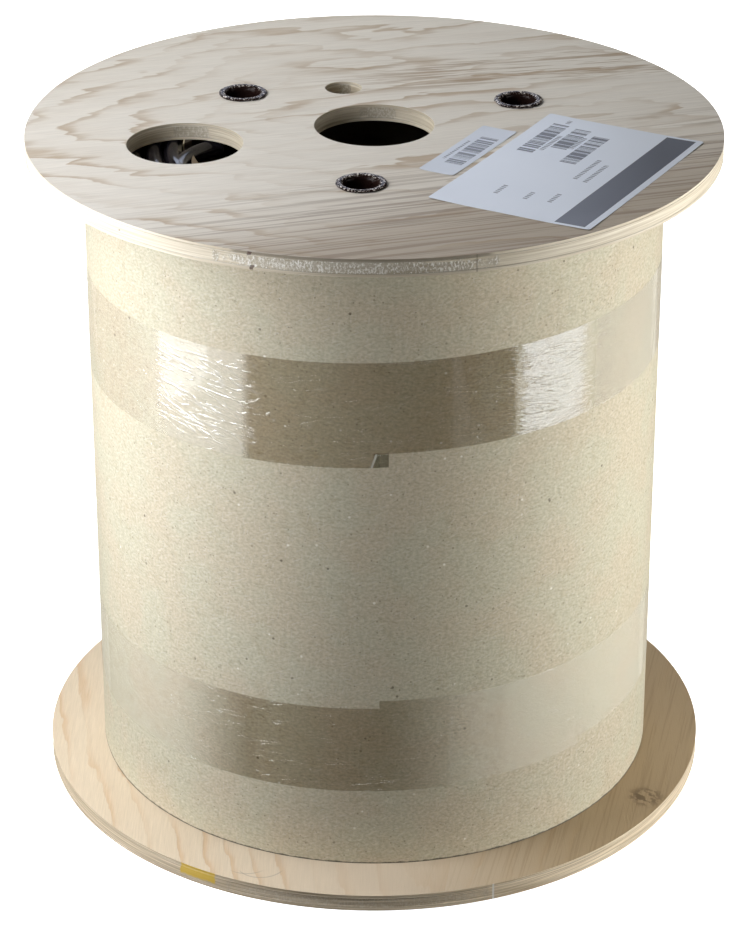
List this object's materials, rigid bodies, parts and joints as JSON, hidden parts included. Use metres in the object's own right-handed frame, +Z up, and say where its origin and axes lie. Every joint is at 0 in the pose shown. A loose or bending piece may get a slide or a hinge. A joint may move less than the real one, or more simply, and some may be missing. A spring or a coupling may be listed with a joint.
{
  "type": "wooden cable drum",
  "caption": "Plywood cable drum standing on its end, wound with cable, wrapped in board and taped, with clamping tubes, spindle hole and drive hole.",
  "frame": {"origin": "middle of the lower flange's underside, on the drum's axis", "axes": "+Z up along the drum's axis, -Y towards the side where the tape ends lap, +X to the right of that side"},
  "size_m": [0.4063, 0.4064, 0.4082],
  "materials": {
    "plywood": "raw sanded veneer faces, sawn ply edges",
    "fibre_barrel": "wound fibreboard, matte",
    "tube_steel": "black oxide, glossy, bright where the rim has split",
    "cable_jacket": "smooth glossy black jacket",
    "wrap_board": "grey chipboard with fine flecks, matte",
    "clear_tape": "clear glossy film with fine wrinkles",
    "label_paper": "satin white label with plain bars"
  },
  "bodies": {
    "root": {"upper_flange": "plywood", "lower_flange": "plywood", "barrel": "fibre_barrel", "clamp_tube_1": "tube_steel", "clamp_tube_2": "tube_steel", "clamp_tube_3": "tube_steel", "cable_winding": "cable_jacket", "wrap_board": "wrap_board", "tape_upper": "clear_tape", "tape_lower": "clear_tape", "label_large": "label_paper", "label_small": "label_paper"}
  },
  "joints": []
}
